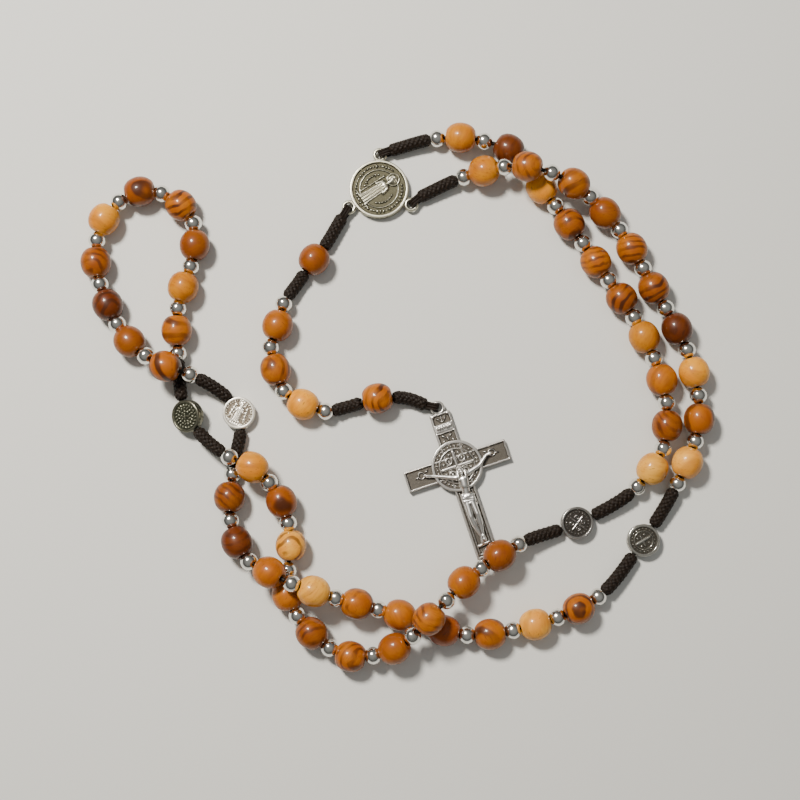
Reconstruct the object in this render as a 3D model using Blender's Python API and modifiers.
"""A wooden rosary lying loosely on a flat surface, in metres with +Z up.

The origin is the middle of the rosary's footprint, on the surface that it lies on. One cord
runs through five decades of wooden beads and four small medals, and both of its ends are
hooked into the centre medal. A second cord hangs from the centre medal and carries the
crucifix. Each wooden bead and each small medal is loose on its cord and turns about it.
"""
import bmesh
import bpy
from math import cos, pi, radians, sin
from mathutils import Matrix, Vector

# Wooden beads: nearly round, with a bore whose mouths are countersunk
WOOD_RADIUS = 0.0045
WOOD_HALF_LENGTH = 0.0038
BORE_RADIUS = 0.0012
MOUTH_RADIUS = 0.0021
WOOD_STEPS = 8

# Cord: a thin thread, thickened by silver beads and by braided stretches
THREAD_RADIUS = 0.0006
HOOK_RADIUS = 0.0004
SILVER_RADIUS = 0.0023
BRAID_RADIUS = 0.00175
BRAID_SPACING = 0.0023
SILVER_REACH = 0.0023
THREAD_IN_WOOD = 0.0036
BEAD_REACH = 0.0050

# Small medals that the cord passes through, from rim to rim
SMALL_MEDAL_RADIUS = 0.0046
SMALL_MEDAL_THICKNESS = 0.0028
SMALL_MEDAL_BORE = 0.00095
SMALL_MEDAL_REACH = 0.0056

# Centre medal, with a cord's end hooked into each of its three ears
CENTRE = Vector((-0.0049, 0.0600, 0.0013))
CENTRE_RADIUS = 0.0086
CENTRE_THICKNESS = 0.0026
EAR_HEIGHT = 0.0017
EAR_RING = 0.0016
EAR_WIRE = 0.0005
EAR_FIRST = Vector((-0.0047, 0.0703, EAR_HEIGHT))
EAR_LAST = Vector((0.0045, 0.0554, EAR_HEIGHT))
EAR_PENDANT = Vector((-0.0137, 0.0546, EAR_HEIGHT))

# Crucifix, drawn upright with its ring's centre at (0, 0) and then turned
CRUCIFIX_RING = Vector((0.0120, -0.0043, 0.0))
CRUCIFIX_TURN = radians(18.5)
CROSSING = -0.0176
FOOT = -0.0448
ARM_HALF_SPAN = 0.0153
BAR_WIDTH = 0.0060
PLATE_THICKNESS = 0.0022
HALO_RADIUS = 0.0074
HALO_THICKNESS = 0.0019
DISC_RADIUS = 0.0052
DISC_THICKNESS = 0.0026
RING_HEIGHT = 0.00165
FIGURE_HEIGHT = 0.0027

# The loop's route. Even places on a decade hold silver beads, odd places wooden ones.
DECADE_1 = {
    0: (0.0120, 0.0747, 0.0033),
    2: (0.0257, 0.0736, 0.0045),
    3: (0.0329, 0.0712, 0.0045),
    5: (0.0423, 0.0597, 0.0045),
    9: (0.0578, 0.0378, 0.0045),
    13: (0.0714, 0.0159, 0.0045),
    16: (0.0774, -0.0030, 0.0045),
    18: (0.0762, -0.0162, 0.0045),
    20: (0.0688, -0.0270, 0.0033),
}
MEDAL_1 = (0.0517, -0.0373, 0.0018)
DECADE_2 = {
    0: (0.0348, -0.0433, 0.0050),
    1: (0.0292, -0.0465, 0.0073),
    3: (0.0191, -0.0540, 0.0083),
    5: (0.0092, -0.0640, 0.0120),
    7: (-0.0004, -0.0724, 0.0072),
    9: (-0.0127, -0.0747, 0.0045),
    12: (-0.0277, -0.0633, 0.0045),
    13: (-0.0306, -0.0576, 0.0045),
    15: (-0.0297, -0.0437, 0.0045),
    17: (-0.0324, -0.0313, 0.0053),
    19: (-0.0405, -0.0217, 0.0078),
    20: (-0.0472, -0.0187, 0.0067),
}
MEDAL_2 = (-0.0596, -0.0068, 0.0037)
DECADE_3 = {
    0: (-0.0627, 0.0114, 0.0033),
    2: (-0.0628, 0.0243, 0.0045),
    5: (-0.0582, 0.0428, 0.0045),
    6: (-0.0587, 0.0492, 0.0045),
    7: (-0.0624, 0.0545, 0.0045),
    8: (-0.0680, 0.0580, 0.0045),
    9: (-0.0744, 0.0586, 0.0045),
    11: (-0.0846, 0.0504, 0.0045),
    13: (-0.0867, 0.0377, 0.0045),
    15: (-0.0830, 0.0253, 0.0045),
    17: (-0.0765, 0.0146, 0.0048),
    19: (-0.0655, 0.0069, 0.0087),
    20: (-0.0586, 0.0048, 0.0067),
}
MEDAL_3 = (-0.0451, -0.0058, 0.0018)
DECADE_4 = {
    0: (-0.0467, -0.0234, 0.0026),
    2: (-0.0469, -0.0366, 0.0045),
    4: (-0.0413, -0.0482, 0.0063),
    5: (-0.0353, -0.0512, 0.0096),
    6: (-0.0289, -0.0542, 0.0113),
    8: (-0.0168, -0.0583, 0.0080),
    11: (0.0011, -0.0632, 0.0045),
    14: (0.0200, -0.0687, 0.0045),
    17: (0.0393, -0.0658, 0.0045),
    20: (0.0572, -0.0581, 0.0033),
}
MEDAL_4 = (0.0705, -0.0422, 0.0018)
DECADE_5 = {
    0: (0.0803, -0.0261, 0.0033),
    3: (0.0867, -0.0077, 0.0045),
    5: (0.0855, 0.0057, 0.0045),
    9: (0.0744, 0.0302, 0.0045),
    13: (0.0606, 0.0522, 0.0049),
    15: (0.0512, 0.0598, 0.0092),
    17: (0.0376, 0.0640, 0.0121),
    18: (0.0312, 0.0648, 0.0087),
    20: (0.0197, 0.0631, 0.0035),
}
DECADES = [DECADE_1, DECADE_2, DECADE_3, DECADE_4, DECADE_5]
MEDALS = [MEDAL_1, MEDAL_2, MEDAL_3, MEDAL_4]
# How far each small medal is turned about its cord as it lies
MEDAL_TILTS = [0.0, radians(-27), 0.0, 0.0]

# The pendant's route, from the centre medal's ear to the crucifix's ring
PENDANT = {
    "braid_1": (-0.0205, 0.0432, 0.0024),
    "upper": (-0.0236, 0.0386, 0.0045),
    "braid_2": (-0.0284, 0.0321, 0.0022),
    "silver_1": (-0.0324, 0.0258, 0.0034),
    "wood_1": (-0.0340, 0.0193, 0.0045),
    "silver_2": (-0.0360, 0.0130, 0.0045),
    "wood_2": (-0.0345, 0.0065, 0.0045),
    "silver_3": (-0.0321, 0.0003, 0.0045),
    "wood_3": (-0.0266, -0.0035, 0.0045),
    "silver_4": (-0.0202, -0.0054, 0.0034),
    "braid_3": (-0.0138, -0.0040, 0.0021),
    "lower": (-0.0053, -0.0018, 0.0045),
    "braid_4": (0.0039, -0.0017, 0.0021),
}
COLLECTION = "rosary"


def clear_scene():
    for old in list(bpy.data.objects):
        bpy.data.objects.remove(old, do_unlink=True)
    for old in list(bpy.data.collections):
        bpy.data.collections.remove(old)


def collection(name):
    made = bpy.data.collections.new(name)
    bpy.context.scene.collection.children.link(made)
    return made


def material(name, colour, roughness, metallic):
    made = bpy.data.materials.new(name)
    made.use_nodes = True
    shader = made.node_tree.nodes["Principled BSDF"]
    shader.inputs["Base Color"].default_value = (*colour, 1.0)
    shader.inputs["Roughness"].default_value = roughness
    shader.inputs["Metallic"].default_value = metallic
    return made


def slope_at(points, distances, i):
    """The route's direction at point i: smooth in plan, and level at each crest and dip."""
    last = len(points) - 1
    if i in (0, last):
        a, b = (0, 1) if i == 0 else (last - 1, last)
        return (points[b] - points[a]) / (distances[b] - distances[a])
    before = distances[i] - distances[i - 1]
    after = distances[i + 1] - distances[i]
    rate_in = (points[i] - points[i - 1]) / before
    rate_out = (points[i + 1] - points[i]) / after
    slope = (rate_in * after + rate_out * before) / (before + after)
    climbs = rate_in.z * rate_out.z
    slope.z = 2 * climbs / (rate_in.z + rate_out.z) if climbs > 0 else 0.0
    return slope


class Route:
    """A smooth curve through points, read by the distance along it."""

    STEP = 0.00025

    def __init__(self, points):
        points = [Vector(p) for p in points]
        distances = [0.0]
        for a, b in zip(points, points[1:]):
            distances.append(distances[-1] + (b - a).length)
        slopes = [slope_at(points, distances, i) for i in range(len(points))]
        self.samples, self.lengths, self.marks = [points[0]], [0.0], [0.0]
        for i in range(len(points) - 1):
            span = distances[i + 1] - distances[i]
            steps = max(2, int(span / self.STEP))
            for k in range(1, steps + 1):
                f = k / steps
                here = points[i] * ((1 + 2 * f) * (1 - f) ** 2)
                here += points[i + 1] * (f * f * (3 - 2 * f))
                here += slopes[i] * (span * f * (1 - f) ** 2)
                here -= slopes[i + 1] * (span * f * f * (1 - f))
                self.lengths.append(self.lengths[-1] + (here - self.samples[-1]).length)
                self.samples.append(here)
            self.marks.append(self.lengths[-1])

    def at(self, distance, lowest=0.0):
        """The point at a distance along the route, lifted to lie on the surface."""
        low, high = 0, len(self.lengths) - 1
        while high - low > 1:
            middle = (low + high) // 2
            if self.lengths[middle] <= distance:
                low = middle
            else:
                high = middle
        span = self.lengths[high] - self.lengths[low]
        share = (distance - self.lengths[low]) / span
        here = self.samples[low].lerp(self.samples[high], share)
        here.z = max(here.z, lowest)
        return here


def direction(a, b):
    return (b - a).normalized()


def spread(places, marks):
    """The distance along the route of every place, spaced evenly between the marked ones."""
    found = {}
    for (a, b), (start, end) in zip(zip(places, places[1:]), zip(marks, marks[1:])):
        for place in range(a, b + 1):
            found[place] = start + (end - start) * (place - a) / (b - a)
    return found


def braid_rings(route, start, end):
    """Rings (centre, radius) along a braided stretch, narrowed at both ends."""
    soft, full = 0.0003, 0.0011
    middle = max(2, round((end - start - 2 * full) / BRAID_SPACING))
    rings = [(start, THREAD_RADIUS), (start + soft, 0.75 * BRAID_RADIUS)]
    for k in range(middle + 1):
        rings.append((start + full + (end - start - 2 * full) * k / middle, BRAID_RADIUS))
    rings += [(end - soft, 0.75 * BRAID_RADIUS), (end, THREAD_RADIUS)]
    return [(route.at(s, BRAID_RADIUS + 0.00005), radius) for s, radius in rings]


def silver_rings(centre, along):
    """A silver bead as a swelling of the cord."""
    shape = [(-0.0022, THREAD_RADIUS), (-0.00145, 0.00182), (0.0, SILVER_RADIUS)]
    shape += [(-offset, radius) for offset, radius in shape[1::-1]]
    return [(centre + along * offset, radius) for offset, radius in shape]


def straight_rings(centre, along, reach, radius=THREAD_RADIUS):
    """The thread where it runs straight through a bead or a medal."""
    return [(centre - along * reach, radius), (centre + along * reach, radius)]


def wood_rings(centre, along):
    """A wooden bead that is one with the cord."""
    shape = [(-0.0040, THREAD_RADIUS)]
    shape += [(-WOOD_RADIUS * cos(a), WOOD_RADIUS * sin(a)) for a in (0.5, 0.85, 1.2, pi / 2)]
    shape += [(-offset, radius) for offset, radius in shape[3::-1]]
    return [(centre + along * offset, radius) for offset, radius in shape]


def hook_rings(ear, towards, ring=EAR_RING):
    """The cord's end: up over an ear's ring, down through its hole and back under it."""
    out = Vector((towards.x - ear.x, towards.y - ear.y, 0.0)).normalized()
    top = ear.z + 0.0013
    low = ear.z - 0.00125
    path = [(0.0024, low), (ring - 0.0003, low), (0.0003, low + 0.0003), (0.0, ear.z)]
    path += [(0.0003, top - 0.0002), (ring - 0.0003, top), (0.0024, top - 0.0003)]
    return [(Vector((ear.x, ear.y, z)) + out * reach, HOOK_RADIUS) for reach, z in path]


def cord(name, rings, parts, finish):
    """A tube through rings of (centre, radius), closed at both ends."""
    data = bpy.data.curves.new(name, "CURVE")
    data.dimensions = "3D"
    data.bevel_depth = THREAD_RADIUS
    data.bevel_resolution = 2
    data.use_fill_caps = True
    spline = data.splines.new("POLY")
    spline.points.add(len(rings) - 1)
    for point, (centre, radius) in zip(spline.points, rings):
        point.co = (*centre, 1.0)
        point.radius = radius / THREAD_RADIUS
    data.materials.append(finish)
    made = bpy.data.objects.new(name, data)
    parts.objects.link(made)
    return made


def wood_bead_mesh(cutters):
    """One turned wooden bead along Z."""
    profile = [(MOUTH_RADIUS, WOOD_HALF_LENGTH)]
    for angle in (radians(32), 0.0, radians(-32)):
        profile.append((WOOD_RADIUS * cos(angle), WOOD_RADIUS * sin(angle)))
    profile.append((MOUTH_RADIUS, -WOOD_HALF_LENGTH))
    profile += [(BORE_RADIUS, -0.0034), (BORE_RADIUS, 0.0034)]
    data = bpy.data.meshes.new("wood_bead_profile")
    count = len(profile)
    edges = [(i, (i + 1) % count) for i in range(count)]
    data.from_pydata([(x, 0.0, z) for x, z in profile], edges, [])
    outline = bpy.data.objects.new("wood_bead_profile", data)
    cutters.objects.link(outline)
    turn = outline.modifiers.new("turn", "SCREW")
    turn.axis = "Z"
    turn.steps = turn.render_steps = WOOD_STEPS
    turn.use_merge_vertices = True
    turn.merge_threshold = 0.00001
    return bake(outline, "wood_bead")


def bake(made, name):
    """The mesh that an object's modifiers give. The object itself is removed."""
    bpy.context.view_layer.update()
    seen = made.evaluated_get(bpy.context.evaluated_depsgraph_get())
    mesh = bpy.data.meshes.new_from_object(seen)
    mesh.name = name
    bpy.data.objects.remove(made, do_unlink=True)
    return mesh


def smooth(mesh):
    mesh.shade_smooth()
    mesh.set_sharp_from_angle(angle=radians(40))


def turned_along(along, up=Vector((0, 0, -1))):
    """A rotation that puts local Z along a direction, with local X as near to up as it goes."""
    x = (up - along * up.dot(along)).normalized()
    return Matrix((x, along.cross(x), along)).transposed().to_euler()


def add_bead(name, mesh, centre, along, parts, finish):
    made = bpy.data.objects.new(name, mesh.copy())
    made.data.materials.append(finish)
    smooth(made.data)
    made.location = centre
    made.rotation_euler = turned_along(along)
    parts.objects.link(made)
    return made


def mesh_object(name, fill, where, **size):
    """An object whose mesh is one of bmesh's own shapes."""
    data = bpy.data.meshes.new(name)
    shape = bmesh.new()
    fill(shape, **size)
    shape.to_mesh(data)
    shape.free()
    made = bpy.data.objects.new(name, data)
    where.objects.link(made)
    return made


def rimmed_disc(shape, radius, thickness, rim, depth, segments):
    """A round plate whose two faces are sunk inside a raised rim."""
    bmesh.ops.create_cone(
        shape, cap_ends=True, segments=segments, radius1=radius, radius2=radius, depth=thickness
    )
    faces = [f for f in shape.faces if abs(f.normal.z) > 0.9]
    bmesh.ops.inset_individual(shape, faces=faces, thickness=rim, depth=-depth)


def box(shape, low, high):
    bmesh.ops.create_cube(shape, size=1.0)
    low, high = Vector(low), Vector(high)
    size = high - low
    bmesh.ops.scale(shape, vec=size, verts=shape.verts)
    bmesh.ops.translate(shape, vec=(low + high) / 2, verts=shape.verts)


def rod(shape, a, b, radius_a, radius_b, segments=8):
    """A tapered round bar from a to b."""
    a, b = Vector(a), Vector(b)
    turn = turned_along(direction(a, b), Vector((0.01, 0.02, 1))).to_matrix().to_4x4()
    bmesh.ops.create_cone(
        shape,
        cap_ends=True,
        segments=segments,
        radius1=radius_a,
        radius2=radius_b,
        depth=(b - a).length,
        matrix=Matrix.Translation((a + b) / 2) @ turn,
    )


def ball(shape, centre, radius):
    place = Matrix.Translation(Vector(centre))
    bmesh.ops.create_uvsphere(shape, u_segments=10, v_segments=7, radius=radius, matrix=place)


def ring(name, centre, major, minor, where):
    """A round wire ring lying flat."""
    bpy.ops.mesh.primitive_torus_add(
        major_segments=16,
        minor_segments=6,
        major_radius=major,
        minor_radius=minor,
        location=centre,
    )
    made = bpy.context.object
    made.name = name
    for holder in list(made.users_collection):
        holder.objects.unlink(made)
    where.objects.link(made)
    return made


def combine(target, tool, operation="UNION"):
    """Joins a helper shape to a piece, or cuts it out of one."""
    tool.hide_render = True
    tool.display_type = "WIRE"
    change = target.modifiers.new(tool.name, "BOOLEAN")
    change.operation = operation
    change.solver = "EXACT"
    change.object = tool


def small_medal_mesh(cutters):
    """A small round medal with a bore along X for the cord."""
    disc = mesh_object(
        "small_medal_disc",
        rimmed_disc,
        cutters,
        radius=SMALL_MEDAL_RADIUS,
        thickness=SMALL_MEDAL_THICKNESS,
        rim=0.0007,
        depth=0.00025,
        segments=20,
    )
    reach = 2 * SMALL_MEDAL_RADIUS
    bore = mesh_object(
        "small_medal_bore",
        rod,
        cutters,
        a=(-reach, 0, 0),
        b=(reach, 0, 0),
        radius_a=SMALL_MEDAL_BORE,
        radius_b=SMALL_MEDAL_BORE,
    )
    combine(disc, bore, "DIFFERENCE")
    mesh = bake(disc, "small_medal")
    bpy.data.objects.remove(bore, do_unlink=True)
    return mesh


def add_small_medal(name, mesh, centre, along, tilt, parts, finish):
    """A small medal with its bore along the cord, turned about it by its tilt."""
    face_up = (Vector((0, 0, 1)) - along * along.z).normalized()
    turn = Matrix((along, face_up.cross(along), face_up)).transposed()
    turn = Matrix.Rotation(tilt, 3, along) @ turn
    made = bpy.data.objects.new(name, mesh.copy())
    made.data.materials.append(finish)
    smooth(made.data)
    made.location = centre
    made.rotation_euler = turn.to_euler()
    parts.objects.link(made)


def add_centre_medal(parts, cutters, finish):
    made = mesh_object(
        "centre_medal",
        rimmed_disc,
        parts,
        radius=CENTRE_RADIUS,
        thickness=CENTRE_THICKNESS,
        rim=0.0009,
        depth=0.0003,
        segments=32,
    )
    made.location = CENTRE
    made.data.materials.append(finish)
    ears = {"first": EAR_FIRST, "last": EAR_LAST, "pendant": EAR_PENDANT}
    for name, place in ears.items():
        combine(made, ring(f"{name}_ear", place, EAR_RING, EAR_WIRE, cutters))
    smooth(made.data)


def figure_shapes(cutters):
    """The plain forms that the figure on the cross is joined from."""
    top = PLATE_THICKNESS
    high = FIGURE_HEIGHT
    chest = (0.0003, CROSSING - 0.0036, high)
    hips = (0.0, CROSSING - 0.0095, high)
    knees = (0.0, CROSSING - 0.0150, high + 0.0003)
    feet = (0.0003, CROSSING - 0.0226, top + 0.0002)
    shapes = {
        "torso": (chest, hips, 0.0019, 0.0014),
        "cloth": ((0.0, CROSSING - 0.0080, high), (0.0, CROSSING - 0.0118, high), 0.0020, 0.0018),
        "thighs": (hips, knees, 0.0016, 0.0012),
        "shins": (knees, feet, 0.0012, 0.0007),
    }
    for side, name in ((-1, "left_arm"), (1, "right_arm")):
        hand = (side * 0.0100, CROSSING + 0.0003, top + 0.0001)
        shapes[name] = ((side * 0.0010, CROSSING - 0.0030, high), hand, 0.0010, 0.0006)
    made = []
    for name, (a, b, radius_a, radius_b) in shapes.items():
        made.append(
            mesh_object(name, rod, cutters, a=a, b=b, radius_a=radius_a, radius_b=radius_b)
        )
    head = (0.0004, CROSSING - 0.0018, high + 0.0008)
    made.append(mesh_object("head", ball, cutters, centre=head, radius=0.0014))
    return made


def add_crucifix(parts, cutters, finish):
    """The crucifix as one casting: bars, halo, disc, ring and figure."""
    half = BAR_WIDTH / 2
    made = mesh_object(
        "crucifix", box, parts, low=(-half, FOOT, 0), high=(half, -0.0016, PLATE_THICKNESS)
    )
    arms = mesh_object(
        "arms",
        box,
        cutters,
        low=(-ARM_HALF_SPAN, CROSSING - half, 0.00001),
        high=(ARM_HALF_SPAN, CROSSING + half, PLATE_THICKNESS - 0.00001),
    )
    halo = mesh_object(
        "halo",
        rod,
        cutters,
        a=(0, CROSSING, 0.00002),
        b=(0, CROSSING, HALO_THICKNESS),
        radius_a=HALO_RADIUS,
        radius_b=HALO_RADIUS,
        segments=32,
    )
    disc = mesh_object(
        "disc",
        rod,
        cutters,
        a=(0, CROSSING, 0.0003),
        b=(0, CROSSING, DISC_THICKNESS),
        radius_a=DISC_RADIUS,
        radius_b=DISC_RADIUS,
        segments=24,
    )
    plaque = mesh_object(
        "plaque",
        box,
        cutters,
        low=(-0.0025, -0.0070, 0.0003),
        high=(0.0025, -0.0048, PLATE_THICKNESS + 0.0003),
    )
    loop = ring("crucifix_ring", (0, 0, RING_HEIGHT), EAR_RING, EAR_WIRE, cutters)
    shapes = [arms, halo, disc, plaque, loop, *figure_shapes(cutters)]
    holder = bpy.data.objects.new("crucifix_place", None)
    holder.location = CRUCIFIX_RING
    holder.rotation_euler = (0, 0, CRUCIFIX_TURN)
    parts.objects.link(holder)
    made.parent = holder
    for shape in shapes:
        shape.parent = holder
        combine(made, shape)
    made.data.materials.append(finish)
    smooth(made.data)


def lay_loop():
    """The loop's rings and where its wooden beads and small medals sit."""
    points, owners = [EAR_FIRST + Vector((0.0030, 0.0012, 0.0003))], ["first"]
    for number, decade in enumerate(DECADES):
        points += decade.values()
        owners += [number] * len(decade)
        if number < len(MEDALS):
            points.append(MEDALS[number])
            owners.append(f"medal_{number}")
    points.append(EAR_LAST + Vector((0.0023, 0.0021, 0.0003)))
    owners.append("last")
    route = Route(points)
    rings = hook_rings(EAR_FIRST, route.samples[0])
    beads, medals = [], []
    free_from = 0.0
    for number, decade in enumerate(DECADES):
        marks = [m for m, owner in zip(route.marks, owners) if owner == number]
        distances = spread(list(decade), marks)
        rings += braid_rings(route, free_from, marks[0] - SILVER_REACH)
        lowest = [SILVER_RADIUS, WOOD_RADIUS]
        centres = {k: route.at(s, lowest[k % 2]) for k, s in distances.items()}
        for k, centre in centres.items():
            before = centres.get(k - 1, route.at(distances[k] - 0.003))
            after = centres.get(k + 1, route.at(distances[k] + 0.003))
            along = direction(before, after)
            if k % 2 == 0:
                rings += silver_rings(centre, along)
            else:
                rings += straight_rings(centre, along, THREAD_IN_WOOD)
                beads.append((f"decade_{number + 1}_bead_{(k + 1) // 2:02d}", centre, along))
        free_from = marks[-1] + SILVER_REACH
        if number < len(MEDALS):
            mark = route.marks[owners.index(f"medal_{number}")]
            rings += braid_rings(route, free_from, mark - SMALL_MEDAL_REACH)
            centre = route.at(mark)
            along = direction(route.at(mark - 0.004), route.at(mark + 0.004))
            rings += straight_rings(centre, along, SMALL_MEDAL_REACH - 0.0004)
            medals.append((centre, along))
            free_from = mark + SMALL_MEDAL_REACH
    rings += braid_rings(route, free_from, route.marks[-1])
    rings += hook_rings(EAR_LAST, route.samples[-1])[::-1]
    return rings, beads, medals


def lay_pendant():
    """The pendant's rings and where its two loose wooden beads sit."""
    ring_centre = CRUCIFIX_RING + Vector((0, 0, RING_HEIGHT))
    first = EAR_PENDANT + Vector((-0.0019, -0.0029, 0.0003))
    last = ring_centre + Vector((-0.0034, 0.0008, 0.0003))
    names = ["first", *PENDANT, "last"]
    route = Route([first, *PENDANT.values(), last])
    mark = dict(zip(names, route.marks))
    rings = hook_rings(EAR_PENDANT, first)
    beads = []
    free_from = 0.0
    for name in names:
        here = mark[name]
        centre = route.at(here)
        along = direction(route.at(max(0, here - 0.003)), route.at(min(mark["last"], here + 0.003)))
        reach = {"silver": SILVER_REACH, "wood": 0.0043}.get(name[:-2], BEAD_REACH)
        ends_braid = name in ("upper", "silver_1", "lower", "last")
        if ends_braid:
            rings += braid_rings(route, free_from, here if name == "last" else here - reach)
        if name in ("upper", "lower"):
            rings += straight_rings(centre, along, BEAD_REACH - 0.0004)
            beads.append((f"pendant_bead_{name}", centre, along))
        elif name.startswith("silver"):
            rings += silver_rings(centre, along)
        elif name.startswith("wood"):
            rings += wood_rings(centre, along)
        if not name.startswith("braid"):
            free_from = 0.0 if name == "first" else here + reach
    rings += hook_rings(ring_centre, last)[::-1]
    return rings, beads


def build():
    clear_scene()
    parts, cutters = collection(COLLECTION), collection("rosary_cutters")
    wood = material("bead_wood", (0.52, 0.22, 0.05), 0.3, 0.0)
    dark = material("cord_brown", (0.03, 0.02, 0.02), 0.7, 0.0)
    silver = material("medal_silver", (0.45, 0.44, 0.40), 0.35, 1.0)
    bright = material("crucifix_silver", (0.60, 0.60, 0.58), 0.3, 1.0)
    wood_mesh, medal_mesh = wood_bead_mesh(cutters), small_medal_mesh(cutters)

    rings, beads, medals = lay_loop()
    cord("loop_cord", rings, parts, dark)
    pendant_rings, pendant_beads = lay_pendant()
    cord("pendant_cord", pendant_rings, parts, dark)
    for name, centre, along in beads + pendant_beads:
        add_bead(name, wood_mesh, centre, along, parts, wood)
    for number, ((centre, along), tilt) in enumerate(zip(medals, MEDAL_TILTS), 1):
        name = f"small_medal_{number}"
        add_small_medal(name, medal_mesh, centre, along, tilt, parts, silver)
    add_centre_medal(parts, cutters, silver)
    add_crucifix(parts, cutters, bright)


build()
